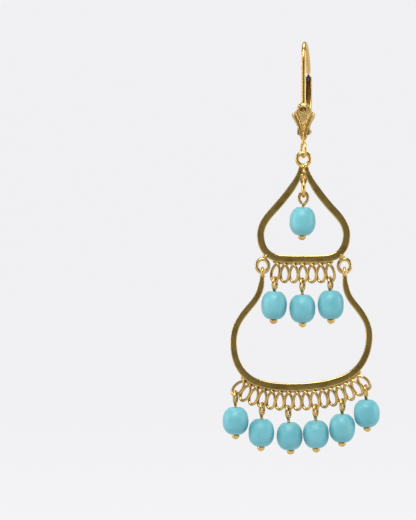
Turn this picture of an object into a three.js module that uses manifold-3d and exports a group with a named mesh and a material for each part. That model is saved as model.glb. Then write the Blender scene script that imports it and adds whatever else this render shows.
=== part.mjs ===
// A gold lever-back chandelier earring with turquoise beads, in millimetres, +Z up, -Y to the front.
// The origin is where the piercing of the ear hangs: the underside of the ear wire's arch.
// A lever-back hook carries an onion-shaped upper frame, which carries a wider, open-topped lower frame.
// Under the bar of each frame runs a gallery of flattened wire loops, and beads on ball pins hang from it.
import * as THREE from "three";
import { mergeVertices } from "three/addons/utils/BufferGeometryUtils.js";
import Module from "manifold-3d";

const wasm = await Module();
wasm.setup();

// ---- Driving dimensions -------------------------------------------------------------------------

const CLEARANCE = 0.08; // air left between pieces that touch or turn on each other
const SLIVER = 0.004; // details finer than this are smoothed out of a joined solid

const EAR_WIRE = { radius: 0.36, front: -2.2, back: 5.95, foot: -9.6, tipTop: -3.9, tipEnd: -5.3, tipRadius: 0.18 };
const HOOK_YAW = -7.5; // degrees that the hook is turned from square to the frames
const SHELL = { thick: 0.7, top: -9.1, bottom: -15.0, domeRadius: 1.05, knobRadius: 0.3 };
const HINGE = { y: -0.7, z: -13.6, pinRadius: 0.24, pinLength: 2.1, earInner: 0.6, earOuter: 0.95 };
const LEVER = { width: 1.02, thick: 0.85, slot: 0.62, floor: 0.23, footRadius: 0.56, footWidth: 1.0 };
const HANG_LOOP = { wire: 0.24, halfWidth: 0.8, top: -15.35, bottom: -17.62, twist: 23, open: 20 };

const TOP_RING = { radius: 1.0, wire: 0.34 };
const UPPER_FRAME = { topWidth: 0.72, faceWidth: 1.14, taper: 0.09, depth: 1.2 };
const BAIL = { wide: 0.8, tall: 1.22, wire: 0.3, z: -22.53 };
const SIDE_RING = { x: 6.43, z: -34.7, wide: 0.94, tall: 1.04, wire: 0.3 };
const LOWER_FRAME = { neckWidth: 0.62, topWidth: 0.95, sideWidth: 1.03, barWidth: 1.2, depth: 1.2, top: -36.3, barZ: -53.7 };
const LOWER_NECK = 0.06; // share of the way down to the bar over which the neck widens
const LOWER_HOOK_WIRE = 0.27;

const UPPER_GALLERY = { loops: 7, pitch: 1.42, below: 2.14, wide: 0.97, tall: 1.48, wire: 0.21, leanY: 0.38, shift: -0.1 };
const LOWER_GALLERY = { loops: 16, pitch: 1.37, below: 2.12, wide: 0.95, tall: 1.45, wire: 0.21, leanY: 0.38, shift: 0.42 };

const PIN = { wire: 0.24, eyeWide: 0.66, eyeTall: 0.9, ball: 0.62, ballDrop: 0.2 };
const BEAD = { flat: 0.92, roundness: 2.32, bore: 0.36, mouth: 0.82, mouthDepth: 0.5 };

// Hand-bent lopsidedness of the lower frame, growing from nothing at its top to full at its bar.
const LOWER_SHIFT = -0.58; // sideways
const LOWER_RISE = 0.045; // height gained per millimetre to the right

// Centrelines of the right halves, as cubic curves from the top down to the middle of the bar: [x, z].
const UPPER_OUTLINE = [
  { from: [0.42, -19.2], leave: [0.5, -20.9], arrive: [2.35, -23.3], to: [4.08, -25.3] },
  { from: [4.08, -25.3], leave: [5.35, -26.75], arrive: [6.75, -28.0], to: [6.75, -29.9] },
  { from: [6.75, -29.9], leave: [6.75, -32.1], arrive: [5.5, -33.5], to: [3.3, -33.6] },
  { from: [3.3, -33.6], leave: [2.2, -33.65], arrive: [1.0, -33.65], to: [0, -33.65] },
];
const LOWER_OUTLINE = [
  { from: [6.5, -36.3], leave: [6.5, -38.5], arrive: [7.2, -39.75], to: [8.3, -41.05] },
  { from: [8.3, -41.05], leave: [9.6, -42.6], arrive: [10.65, -44.0], to: [10.65, -46.2] },
  { from: [10.65, -46.2], leave: [10.65, -48.7], arrive: [9.7, -51.0], to: [7.6, -52.3] },
  { from: [7.6, -52.3], leave: [5.6, -53.4], arrive: [2.6, -53.7], to: [0, -53.7] },
];

// The shell's right edge, from its top to its foot: [x, z].
const SHELL_EDGE = [
  [0.4, -9.1],
  [0.95, -9.5],
  [1.12, -10.3],
  [1.78, -10.85],
  [1.82, -11.3],
  [1.35, -12.1],
  [0.95, -12.9],
  [0.66, -13.8],
  [0.6, -14.5],
  [0.25, -15.0],
];

// The lever's middle line in the hook's own side plane, from the hinge to its tip: [y, z].
const LEVER_LINE = { from: [-0.7, -13.6], leave: [3.6, -14.0], arrive: [7.1, -10.6], to: [6.04, -4.5] };

// The middle of the ear wire over its arch, from the front leg to the back: [y, z]. The peak stands over the origin.
const ARCH = [
  [-2.2, -4.0],
  [-2.14, -2.3],
  [-1.8, -0.95],
  [-1.05, -0.02],
  [0, 0.36],
  [1.7, 0.1],
  [3.4, -0.8],
  [4.8, -2.05],
  [5.55, -2.95],
  [5.95, -3.9],
];

// One row for each bead on its pin. reach is from the top of the pin's eye to the top of the bead, and lean is how
// far the pin hangs out of plumb, in degrees. slide is how far round its loop the eye sits from the lowest point, as a
// share of a turn.
const TOP_DROP = { reach: 2.62, width: 4.1, length: 4.4, lean: -2.2 };
const UPPER_DROPS = [
  { loop: 0, slide: -0.02, reach: 2.4, width: 4.05, length: 4.35, lean: -2 },
  { loop: 3, slide: 0.02, reach: 2.75, width: 4.12, length: 4.35, lean: 0.3 },
  { loop: 6, slide: 0.03, reach: 2.25, width: 4.12, length: 4.45, lean: 1 },
];
const LOWER_DROPS = [
  { loop: 0, slide: -0.03, reach: 2.72, width: 4.08, length: 4.22, lean: 0.2 },
  { loop: 3, slide: -0.035, reach: 2.7, width: 4.08, length: 4.25, lean: -1.6 },
  { loop: 6, slide: 0.015, reach: 2.8, width: 4.08, length: 4.25, lean: 3.4 },
  { loop: 9, slide: 0, reach: 2.7, width: 4.08, length: 4.25, lean: 1 },
  { loop: 12, slide: 0, reach: 2.55, width: 4.08, length: 4.35, lean: -0.6 },
  { loop: 15, slide: 0.045, reach: 2.5, width: 4.08, length: 4.25, lean: 2 },
];

// ---- Materials ----------------------------------------------------------------------------------

const gold = new THREE.MeshStandardMaterial({ color: 0xc9a24a, roughness: 0.3, metalness: 1 });
const turquoise = new THREE.MeshStandardMaterial({ color: 0x73bcc6, roughness: 0.45, metalness: 0 });

// ---- Helpers ------------------------------------------------------------------------------------

const radians = THREE.MathUtils.degToRad;

// A closed geometry as a solid that can be joined or cut.
function solidOf(geometry) {
  const bare = new THREE.BufferGeometry().setAttribute("position", geometry.getAttribute("position").clone());
  bare.setIndex(geometry.index);
  const merged = mergeVertices(bare, 1e-4);
  return new wasm.Manifold(
    new wasm.Mesh({
      numProp: 3,
      vertProperties: merged.attributes.position.array,
      triVerts: new Uint32Array(merged.index.array),
    }),
  );
}

function geometryOf(solid) {
  const mesh = solid.getMesh();
  return new THREE.BufferGeometry()
    .setAttribute("position", new THREE.BufferAttribute(new Float32Array(mesh.vertProperties), 3))
    .setIndex(new THREE.BufferAttribute(new Uint32Array(mesh.triVerts), 1));
}

const soldered = (geometries) =>
  geometryOf(
    geometries
      .map(solidOf)
      .reduce((whole, piece) => whole.add(piece))
      .simplify(SLIVER),
  );
const cut = (geometry, cutter) => geometryOf(solidOf(geometry).subtract(solidOf(cutter)).simplify(SLIVER));

function roundSection(radius, sides) {
  const corners = Array.from({ length: sides }, (_, i) => {
    const angle = (2 * Math.PI * (i + 0.5)) / sides;
    return new THREE.Vector2(radius * Math.cos(angle), radius * Math.sin(angle));
  });
  return new THREE.Shape(corners);
}

function wire(path, radius, steps, sides = 6) {
  return new THREE.ExtrudeGeometry(roundSection(radius, sides), { steps, extrudePath: path, bevelEnabled: false });
}

// An upright oval ring of round wire; wide and tall are half its sizes along the middle of the wire. It faces the
// front, or the side once it is turned.
function ovalRing(wide, tall, wireRadius) {
  const ring = new THREE.TorusGeometry(wide, wireRadius, 6, 14);
  const corners = ring.getAttribute("position");
  for (let i = 0; i < corners.count; i++) {
    const angle = Math.atan2(corners.getY(i), corners.getX(i));
    corners.setY(i, corners.getY(i) + (tall - wide) * Math.sin(angle));
  }
  return ring.rotateX(Math.PI / 2);
}
const turnedRing = (wide, tall, wireRadius) => ovalRing(wide, tall, wireRadius).rotateZ(Math.PI / 2);

// A flat strip with chamfered corners that follows a plane curve. widthAt gives its width in the curve's plane at a
// share of its length, depth is its size across that plane, and offset moves it sideways in the plane.
function strip(path, steps, widthAt, depth, depthAxis, { offset = 0, chamfer = 0.14 } = {}) {
  const corners = [];
  for (let i = 0; i <= steps; i++) {
    const centre = path.getPointAt(i / steps);
    const across = new THREE.Vector3().crossVectors(path.getTangentAt(i / steps), depthAxis).normalize();
    const w = widthAt(i / steps) / 2;
    const d = depth / 2;
    const section = [
      [w - chamfer, d],
      [w, d - chamfer],
      [w, chamfer - d],
      [w - chamfer, -d],
      [chamfer - w, -d],
      [-w, chamfer - d],
      [-w, d - chamfer],
      [chamfer - w, d],
    ];
    for (const [a, b] of section) {
      corners.push(centre.clone().addScaledVector(across, a + offset).addScaledVector(depthAxis, b));
    }
  }
  const sides = 8;
  const faces = [];
  for (let i = 0; i < steps; i++) {
    for (let k = 0; k < sides; k++) {
      const a = i * sides + k;
      const b = i * sides + ((k + 1) % sides);
      faces.push(a, b, a + sides, b, b + sides, a + sides);
    }
  }
  for (let k = 1; k < sides - 1; k++) {
    const end = steps * sides;
    faces.push(0, k + 1, k, end, end + k, end + k + 1);
  }
  const geometry = new THREE.BufferGeometry().setFromPoints(corners).setIndex(faces);
  const made = solidOf(geometry);
  return made.volume() > 0 ? geometry : geometry.setIndex(faces.reverse());
}

const AXIS_X = new THREE.Vector3(1, 0, 0);
const AXIS_Y = new THREE.Vector3(0, 1, 0);

// The cubic curves of one half of a frame, from its top to the middle of its bar; side is 1 for the right half and
// -1 for the left.
const halfCurves = (outline, side, bend) =>
  outline.map(
    (row) =>
      new THREE.CubicBezierCurve3(
        ...[row.from, row.leave, row.arrive, row.to].map(([x, z]) => bend(side * x, z)),
      ),
  );
const backwards = (curve) => new THREE.CubicBezierCurve3(curve.v3, curve.v2, curve.v1, curve.v0);

function pathOf(curves) {
  const path = new THREE.CurvePath();
  curves.forEach((curve) => path.add(curve));
  return path;
}
const halfPath = (outline, side, bend) => pathOf(halfCurves(outline, side, bend));

// From the top of the right half round to the top of the left half.
function wholePath(outline, bend) {
  return pathOf([...halfCurves(outline, 1, bend), ...halfCurves(outline, -1, bend).reverse().map(backwards)]);
}

const straight = (x, z) => new THREE.Vector3(x, 0, z);

function lopsided(x, z, shift = LOWER_SHIFT) {
  const share = THREE.MathUtils.clamp((LOWER_FRAME.top - z) / (LOWER_FRAME.top - LOWER_FRAME.barZ), 0, 1);
  return new THREE.Vector3(x + shift * share, 0, z + LOWER_RISE * x * share);
}

// ---- Gallery ------------------------------------------------------------------------------------

// One wire wound into flattened loops along the bar of a frame, each loop standing square to the bar. Its near
// strands come down on the right and its far strands go back up on the left.
class GalleryCoil extends THREE.Curve {
  constructor(spec, outline, bend) {
    super();
    this.spec = spec;
    const reach = (spec.loops * spec.pitch) / 2 + Math.abs(spec.shift);
    const side = (sign) => {
      const half = halfPath(outline, sign, bend);
      return Array.from({ length: 13 }, (_, i) => {
        const share = 1 - (reach * (i / 12)) / half.getLength();
        const inward = half.getTangentAt(share);
        const outward = new THREE.Vector3(-sign * inward.z, 0, sign * inward.x);
        return half.getPointAt(share).addScaledVector(outward, spec.below);
      });
    };
    // The line through the middles of the loops, from left to right.
    this.middle = new THREE.CatmullRomCurve3([...side(-1).reverse(), ...side(1).slice(1)]);
  }
  // turns counts whole loops from the left end; the wire is at the top of a loop at each whole turn.
  at(turns) {
    const { loops, pitch, wide, tall, leanY, shift } = this.spec;
    const angle = 2 * Math.PI * turns;
    const share = 0.5 + (pitch * (turns - loops / 2) + shift) / this.middle.getLength();
    const rightward = this.middle.getTangentAt(share);
    const downward = new THREE.Vector3(rightward.z, 0, -rightward.x);
    return this.middle
      .getPointAt(share)
      .addScaledVector(downward, -tall * Math.cos(angle))
      .addScaledVector(rightward, wide * Math.sin(angle))
      .addScaledVector(AXIS_Y, -leanY * Math.sin(angle));
  }
  getPoint(share, target = new THREE.Vector3()) {
    return target.copy(this.at(share * this.spec.loops));
  }
  // Where a pin hangs in a loop: at or near the lowest point of its wire, and which way the wire crosses it there.
  footOf({ loop, slide }) {
    const turns = Array.from({ length: 51 }, (_, i) => loop + 0.25 + i / 100);
    const lowest = turns.reduce((best, turn) => (this.at(turn).z < this.at(best).z ? turn : best));
    const held = lowest + slide;
    const along = new THREE.Vector3().subVectors(this.at(held - 0.02), this.at(held + 0.02));
    return { point: this.at(held), wire: this.spec.wire, turn: Math.atan2(along.y, along.x) };
  }
}

// ---- Hook ---------------------------------------------------------------------------------------

function earWirePath() {
  const path = new THREE.CurvePath();
  const arch = ARCH.map(([y, z]) => new THREE.Vector3(0, y, z));
  path.add(new THREE.LineCurve3(new THREE.Vector3(0, EAR_WIRE.front + 0.1, EAR_WIRE.foot), arch[0]));
  path.add(new THREE.CatmullRomCurve3(arch));
  return path;
}

function earWireTip() {
  const top = new THREE.Vector3(0, EAR_WIRE.back, EAR_WIRE.tipTop + 0.1);
  const end = new THREE.Vector3(0, EAR_WIRE.back - 0.3, EAR_WIRE.tipEnd);
  const length = top.distanceTo(end);
  const cone = new THREE.CylinderGeometry(EAR_WIRE.radius * 0.96, EAR_WIRE.tipRadius, length, 8);
  const direction = new THREE.Vector3().subVectors(top, end).normalize();
  cone.applyQuaternion(new THREE.Quaternion().setFromUnitVectors(AXIS_Y, direction));
  return cone.translate(0, (top.y + end.y) / 2, (top.z + end.z) / 2);
}

function shellPlate() {
  const mirrored = [...SHELL_EDGE].reverse().map(([x, z]) => [-x, z]);
  const outline = [...SHELL_EDGE, ...mirrored].map(([x, z]) => new THREE.Vector2(x, z));
  const bevel = 0.16;
  return new THREE.ExtrudeGeometry(new THREE.Shape(outline), {
    depth: SHELL.thick - 2 * bevel,
    bevelSize: bevel * 0.6,
    bevelOffset: -bevel * 0.6,
    bevelThickness: bevel,
    bevelSegments: 1,
  })
    .rotateX(Math.PI / 2)
    .translate(0, EAR_WIRE.front + SHELL.thick / 2 - bevel, 0);
}

// The rolled lip over the shell's top and the small knobs at the ends of its ribs.
function shellRelief() {
  const dome = new THREE.SphereGeometry(SHELL.domeRadius, 12, 8)
    .scale(1, 0.55, 0.8)
    .translate(0, EAR_WIRE.front - 0.15, SHELL.top - 0.75);
  const knobs = [-1, 1].flatMap((side) =>
    [
      [1.55, -11.05],
      [1.1, -10.7],
    ].map(([x, z]) =>
      new THREE.SphereGeometry(SHELL.knobRadius, 8, 6).translate(side * x, EAR_WIRE.front - SHELL.thick / 2 + 0.12, z),
    ),
  );
  return [dome, ...knobs];
}

function hingeEars() {
  const thick = HINGE.earOuter - HINGE.earInner;
  const reach = HINGE.y + 0.5 - EAR_WIRE.front;
  return [-1, 1].map((side) => {
    const x = (side * (HINGE.earInner + HINGE.earOuter)) / 2;
    const plate = new THREE.BoxGeometry(thick, reach, 1.15).translate(x, EAR_WIRE.front + reach / 2, HINGE.z);
    const hole = new THREE.CylinderGeometry(HINGE.pinRadius + CLEARANCE, HINGE.pinRadius + CLEARANCE, 2, 12)
      .rotateZ(Math.PI / 2)
      .translate(x, HINGE.y, HINGE.z);
    return cut(plate, hole);
  });
}

// The loop under the shell, left open a little behind its neck, and twisted to cross the frames' top ring.
function hangLoop() {
  const { top, bottom, halfWidth, open, twist } = HANG_LOOP;
  const count = 16;
  const points = Array.from({ length: count + 1 }, (_, i) => {
    const angle = radians(90 + open * 0.75 + ((360 - open) * i) / count);
    return new THREE.Vector3(0, halfWidth * Math.cos(angle), ((top - bottom) / 2) * Math.sin(angle));
  });
  return wire(new THREE.CatmullRomCurve3(points), HANG_LOOP.wire, 20)
    .rotateZ(radians(twist - HOOK_YAW))
    .translate(0, EAR_WIRE.front, (top + bottom) / 2);
}

function makeEarHook() {
  const neck = new THREE.CylinderGeometry(0.3, 0.28, 0.9, 8)
    .rotateX(Math.PI / 2)
    .translate(0, EAR_WIRE.front, SHELL.bottom - 0.02);
  const wireLoop = wire(earWirePath(), EAR_WIRE.radius, 30, 8);
  return soldered([wireLoop, earWireTip(), shellPlate(), ...shellRelief(), ...hingeEars(), neck, hangLoop()]);
}

function makeLever() {
  const [from, leave, arrive, to] = [LEVER_LINE.from, LEVER_LINE.leave, LEVER_LINE.arrive, LEVER_LINE.to].map(
    ([y, z]) => new THREE.Vector3(0, y, z),
  );
  const line = new THREE.CubicBezierCurve3(from, leave, arrive, to);
  const pastTheEnd = line.getPointAt(1).addScaledVector(line.getTangentAt(1), 0.4);
  const slotLine = new THREE.CatmullRomCurve3([
    ...Array.from({ length: 9 }, (_, i) => line.getPointAt(0.3 + 0.7 * (i / 8))),
    pastTheEnd,
  ]);
  const bodyWidth = (share) => (share < 0.15 ? LEVER.footWidth * 0.9 : LEVER.thick);
  const body = strip(line, 18, bodyWidth, LEVER.footWidth, AXIS_X, { chamfer: 0.12 });
  const cheeks = strip(
    new THREE.CatmullRomCurve3(Array.from({ length: 7 }, (_, i) => line.getPointAt(0.35 + 0.65 * (i / 6)))),
    12,
    () => LEVER.thick,
    LEVER.width,
    AXIS_X,
    { chamfer: 0.12 },
  );
  const foot = new THREE.CylinderGeometry(LEVER.footRadius, LEVER.footRadius, LEVER.footWidth, 14)
    .rotateZ(Math.PI / 2)
    .translate(0, HINGE.y, HINGE.z);
  const bore = new THREE.CylinderGeometry(HINGE.pinRadius + CLEARANCE, HINGE.pinRadius + CLEARANCE, 2, 12)
    .rotateZ(Math.PI / 2)
    .translate(0, HINGE.y, HINGE.z);
  const slotWidth = LEVER.thick - LEVER.floor + 0.4;
  const inner = line.getTangentAt(0.8).cross(AXIS_X).y > 0 ? -1 : 1;
  const slot = strip(slotLine, 14, () => slotWidth, LEVER.slot, AXIS_X, {
    offset: inner * ((slotWidth - LEVER.thick) / 2 + LEVER.floor),
    chamfer: 0.05,
  });
  return cut(cut(soldered([body, cheeks, foot]), bore), slot);
}

const makeHingePin = () =>
  new THREE.CylinderGeometry(HINGE.pinRadius, HINGE.pinRadius, HINGE.pinLength, 12)
    .rotateZ(Math.PI / 2)
    .translate(0, HINGE.y, HINGE.z);

// ---- Frames -------------------------------------------------------------------------------------

function makeUpperFrame(coil) {
  const { topWidth, faceWidth, taper, depth } = UPPER_FRAME;
  const widthAt = (share) => {
    const grown = Math.min(share, 1 - share, taper) / taper;
    return THREE.MathUtils.lerp(topWidth, faceWidth, grown);
  };
  const hoop = strip(wholePath(UPPER_OUTLINE, straight), 54, widthAt, depth, AXIS_Y);
  const apexFill = new THREE.CylinderGeometry(0.62, 0.78, 2.5, 10)
    .rotateX(Math.PI / 2)
    .scale(1, 0.8, 1)
    .translate(0, 0, -20.4);
  const topRing = ovalRing(TOP_RING.radius, TOP_RING.radius, TOP_RING.wire).translate(0, 0, topRingZ());
  const bail = turnedRing(BAIL.wide, BAIL.tall, BAIL.wire).translate(0, 0, BAIL.z);
  const sides = [-1, 1].flatMap((side) => [
    ovalRing(SIDE_RING.wide, SIDE_RING.tall, SIDE_RING.wire).translate(side * SIDE_RING.x, 0, SIDE_RING.z),
    new THREE.SphereGeometry(0.42, 8, 6).translate(side * 6.12, 0, -33.3),
  ]);
  const gallery = wire(coil, coil.spec.wire, coil.spec.loops * 13, 5);
  return soldered([hoop, apexFill, topRing, bail, ...sides, gallery]);
}

// The top ring hangs from the loop under the shell with a little air between them.
function topRingZ() {
  return HANG_LOOP.bottom + HANG_LOOP.wire + CLEARANCE + TOP_RING.wire - TOP_RING.radius;
}

const sideRingFootZ = SIDE_RING.z - SIDE_RING.tall;

function makeLowerFrame(coil) {
  const { neckWidth, topWidth, sideWidth, barWidth } = LOWER_FRAME;
  const widthAt = (share) => {
    const fromTop = 1 - Math.abs(2 * share - 1);
    if (fromTop < LOWER_NECK) return THREE.MathUtils.lerp(neckWidth, topWidth, fromTop / LOWER_NECK);
    return fromTop < 0.5
      ? THREE.MathUtils.lerp(topWidth, sideWidth, fromTop / 0.5)
      : THREE.MathUtils.lerp(sideWidth, barWidth, (fromTop - 0.5) / 0.5);
  };
  const hoop = strip(wholePath(LOWER_OUTLINE, lopsided), 58, widthAt, LOWER_FRAME.depth, AXIS_Y);
  const hookRadius = SIDE_RING.wire + LOWER_HOOK_WIRE + CLEARANCE;
  const hooks = [-1, 1].map((side) =>
    turnedRing(hookRadius, hookRadius, LOWER_HOOK_WIRE).translate(side * SIDE_RING.x, 0, sideRingFootZ),
  );
  const gallery = wire(coil, coil.spec.wire, coil.spec.loops * 13, 5);
  return soldered([hoop, ...hooks, gallery]);
}

// ---- Beads on ball pins -------------------------------------------------------------------------

// A pin whose eye hangs on a wire of the given radius at the origin; the bead's top is at topZ.
function makePin(drop, topZ, eyeTopZ) {
  const centreZ = eyeTopZ - PIN.eyeTall;
  const eyePoint = (degrees) =>
    new THREE.Vector3(
      0,
      PIN.eyeWide * Math.cos(radians(degrees)),
      centreZ + PIN.eyeTall * Math.sin(radians(degrees)),
    );
  const eye = [-62, -30, 0, 30, 60, 90, 120, 150, 180, 205, 228].map(eyePoint);
  const neckZ = centreZ - PIN.eyeTall * 1.22;
  eye.push(new THREE.Vector3(0, -0.08, neckZ), new THREE.Vector3(0, 0, neckZ - 0.3));
  const ballZ = topZ - drop.length - PIN.ballDrop;
  const stemTop = neckZ - 0.05;
  const stem = new THREE.CylinderGeometry(PIN.wire, PIN.wire, stemTop - ballZ, 6)
    .rotateX(Math.PI / 2)
    .translate(0, 0, (stemTop + ballZ) / 2);
  const ball = new THREE.SphereGeometry(PIN.ball, 10, 6).rotateX(Math.PI / 2).translate(0, 0, ballZ);
  return soldered([wire(new THREE.CatmullRomCurve3(eye), PIN.wire, 18), stem, ball]);
}

// A barrel-round bead turned about Z, with flat ends and a bore that opens to a cone at each end.
function makeBead(drop, topZ) {
  const half = drop.length / 2;
  const radius = drop.width / 2;
  const power = BEAD.roundness;
  const pole = half / (1 - (BEAD.flat / radius) ** power) ** (1 / power);
  const outside = [-1, -0.86, -0.58, -0.2, 0.2, 0.58, 0.86, 1].map((share) => {
    const z = half * share;
    return new THREE.Vector2(radius * (1 - Math.abs(z / pole) ** power) ** (1 / power), z);
  });
  const inside = [
    new THREE.Vector2(BEAD.mouth, half),
    new THREE.Vector2(BEAD.bore, half - BEAD.mouthDepth),
    new THREE.Vector2(BEAD.bore, BEAD.mouthDepth - half),
    new THREE.Vector2(BEAD.mouth, -half),
  ];
  const profile = [...outside, ...inside, outside[0].clone()];
  return new THREE.LatheGeometry(profile, 14).rotateX(Math.PI / 2).translate(0, 0, topZ - half);
}

// foot says where the wire that the pin's eye hangs on is, how thick it is and which way it crosses the eye.
function hangDrop(group, name, drop, foot) {
  const eyeTopZ = foot.wire + PIN.wire + CLEARANCE;
  const topZ = eyeTopZ + PIN.wire - drop.reach;
  const plumb = new THREE.Group();
  plumb.position.copy(foot.point);
  plumb.rotation.y = radians(-drop.lean);
  plumb.add(piece(`pin_${name}`, makePin(drop, topZ, eyeTopZ).rotateZ(foot.turn), gold));
  plumb.add(piece(`bead_${name}`, makeBead(drop, topZ), turquoise));
  group.add(plumb);
}

// ---- Assembly -----------------------------------------------------------------------------------

function piece(name, geometry, material) {
  const mesh = new THREE.Mesh(geometry, material);
  mesh.name = name;
  return mesh;
}

const earring = new THREE.Group();

const hook = new THREE.Group();
hook.rotation.z = radians(HOOK_YAW);
hook.add(piece("ear_hook", makeEarHook(), gold));
hook.add(piece("lever", makeLever(), gold));
hook.add(piece("hinge_pin", makeHingePin(), gold));
earring.add(hook);

const frames = new THREE.Group();
frames.position.set(-EAR_WIRE.front * Math.sin(radians(HOOK_YAW)), EAR_WIRE.front * Math.cos(radians(HOOK_YAW)), 0);
earring.add(frames);

const upperCoil = new GalleryCoil(UPPER_GALLERY, UPPER_OUTLINE, straight);
const lowerCoil = new GalleryCoil(LOWER_GALLERY, LOWER_OUTLINE, lopsided);
frames.add(piece("upper_frame", makeUpperFrame(upperCoil), gold));
frames.add(piece("lower_frame", makeLowerFrame(lowerCoil), gold));

const bailFoot = { point: new THREE.Vector3(0, 0, BAIL.z - BAIL.tall), wire: BAIL.wire, turn: Math.PI / 2 };
hangDrop(frames, "top", TOP_DROP, bailFoot);
UPPER_DROPS.forEach((drop, i) => hangDrop(frames, `upper_${i + 1}`, drop, upperCoil.footOf(drop)));
LOWER_DROPS.forEach((drop, i) => hangDrop(frames, `lower_${i + 1}`, drop, lowerCoil.footOf(drop)));

export default earring;
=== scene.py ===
"""A gold lever-back chandelier earring with turquoise beads.

Lengths are in millimetres until a piece becomes a mesh. The frames, galleries, beads and pins are placed
from FRAMES_AT, and the hook is turned by HOOK_YAW about the upright through the top of its arch.
"""

import math
import random

import bmesh
import bpy
from mathutils import Matrix, Vector, noise


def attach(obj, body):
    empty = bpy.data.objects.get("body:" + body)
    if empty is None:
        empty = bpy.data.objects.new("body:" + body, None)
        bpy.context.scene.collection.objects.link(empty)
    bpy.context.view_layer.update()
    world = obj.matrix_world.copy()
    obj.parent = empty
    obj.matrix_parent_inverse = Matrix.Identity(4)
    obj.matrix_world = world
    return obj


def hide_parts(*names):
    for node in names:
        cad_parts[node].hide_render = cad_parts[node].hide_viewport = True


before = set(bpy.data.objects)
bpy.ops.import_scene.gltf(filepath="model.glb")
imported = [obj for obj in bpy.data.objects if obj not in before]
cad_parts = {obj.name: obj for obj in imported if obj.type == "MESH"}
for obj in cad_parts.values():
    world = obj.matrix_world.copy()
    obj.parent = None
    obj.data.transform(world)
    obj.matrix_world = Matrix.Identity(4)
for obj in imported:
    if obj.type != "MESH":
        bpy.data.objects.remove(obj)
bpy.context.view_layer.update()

MM = 0.001
X, Y, Z = Vector((1, 0, 0)), Vector((0, 1, 0)), Vector((0, 0, 1))

# ---- Sizes --------------------------------------------------------------------------------------

CLEARANCE = 0.08  # air between pieces that hang on each other
# How much thinner the drawn ring and hanging loop are, so that they clear each other as they swing.
RING_EASE = 0.03

EAR_WIRE = {"radius": 0.36, "front": -2.2, "back": 5.95, "foot": -9.6, "tip_top": -3.9, "tip_end": -5.3}
HOOK_YAW = math.radians(-7.5)
SHELL = {"thick": 0.7, "top": -9.1, "bottom": -15.0}
HINGE = {"y": -0.7, "z": -13.6, "pin": 0.24, "pin_length": 2.1, "ear_inner": 0.6, "ear_outer": 0.95}
LEVER = {"width": 1.02, "thick": 0.85, "slot": 0.62, "floor": 0.23, "foot": 0.56, "foot_width": 1.0}
HANG_LOOP = {"wire": 0.24, "half_width": 0.8, "top": -15.35, "bottom": -17.62, "twist": math.radians(23),
             "open": 20}

TOP_RING = {"radius": 1.0, "wire": 0.34}
TOP_RING_Z = HANG_LOOP["bottom"] + HANG_LOOP["wire"] + CLEARANCE + TOP_RING["wire"] - TOP_RING["radius"]
UPPER_FRAME = {"top_width": 0.72, "face_width": 1.14, "taper": 0.09, "depth": 1.2}
BAIL = {"wide": 0.8, "tall": 1.22, "wire": 0.3, "z": -22.53}
SIDE_RING = {"x": 6.43, "z": -34.7, "wide": 0.94, "tall": 1.04, "wire": 0.3}
LOWER_FRAME = {"neck_width": 0.62, "top_width": 0.95, "side_width": 1.03, "bar_width": 1.2, "depth": 1.2,
               "top": -36.3, "bar": -53.7}
LOWER_NECK = 0.06  # share of the way down to the bar over which the neck widens
LOWER_HOOK_WIRE = 0.27

UPPER_GALLERY = {"loops": 7, "pitch": 1.42, "below": 2.14, "wide": 0.97, "tall": 1.48, "shift": -0.1}
LOWER_GALLERY = {"loops": 16, "pitch": 1.37, "below": 2.12, "wide": 0.95, "tall": 1.45, "shift": 0.42}
GALLERY_WIRE = 0.21
GALLERY_SWELL = 0.02  # solder that has run along the coiled wire
GALLERY_LEAN = 0.38  # how far the near and far strands stand off the middle plane

PIN = {"wire": 0.24, "eye_wide": 0.66, "eye_tall": 0.9, "ball": 0.62, "ball_drop": 0.2}
BEAD = {"flat": 0.92, "roundness": 2.32, "bore": 0.36}

LOWER_SHIFT = -0.58  # the lower frame hangs a little to the left at its bar
LOWER_RISE = 0.045  # and its bar rises by this share to the right

# The right half of each frame's middle line: cubic curves from the top to the middle of the bar, as (x, z).
UPPER_OUTLINE = [
    [(0.42, -19.2), (0.5, -20.9), (2.35, -23.3), (4.08, -25.3)],
    [(4.08, -25.3), (5.35, -26.75), (6.75, -28.0), (6.75, -29.9)],
    [(6.75, -29.9), (6.75, -32.1), (5.5, -33.5), (3.3, -33.6)],
    [(3.3, -33.6), (2.2, -33.65), (1.0, -33.65), (0, -33.65)],
]
LOWER_OUTLINE = [
    [(6.5, -36.3), (6.5, -38.5), (7.2, -39.75), (8.3, -41.05)],
    [(8.3, -41.05), (9.6, -42.6), (10.65, -44.0), (10.65, -46.2)],
    [(10.65, -46.2), (10.65, -48.7), (9.7, -51.0), (7.6, -52.3)],
    [(7.6, -52.3), (5.6, -53.4), (2.6, -53.7), (0, -53.7)],
]
# The shell's right edge, from top to foot, as (x, z).
SHELL_EDGE = [(0.4, -9.1), (0.95, -9.5), (1.12, -10.3), (1.78, -10.85), (1.82, -11.3), (1.35, -12.1),
              (0.95, -12.9), (0.66, -13.8), (0.6, -14.5), (0.25, -15.0)]
# The ear wire's arch from the front leg to the back, and the lever from its hinge to its tip, as (y, z).
ARCH = [(-2.2, -4.0), (-2.14, -2.3), (-1.8, -0.95), (-1.05, -0.02), (0, 0.36), (1.7, 0.1), (3.4, -0.8),
        (4.8, -2.05), (5.55, -2.95), (5.95, -3.9)]
LEVER_LINE = [(-0.7, -13.6), (3.6, -14.0), (7.1, -10.6), (6.04, -4.5)]

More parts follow.
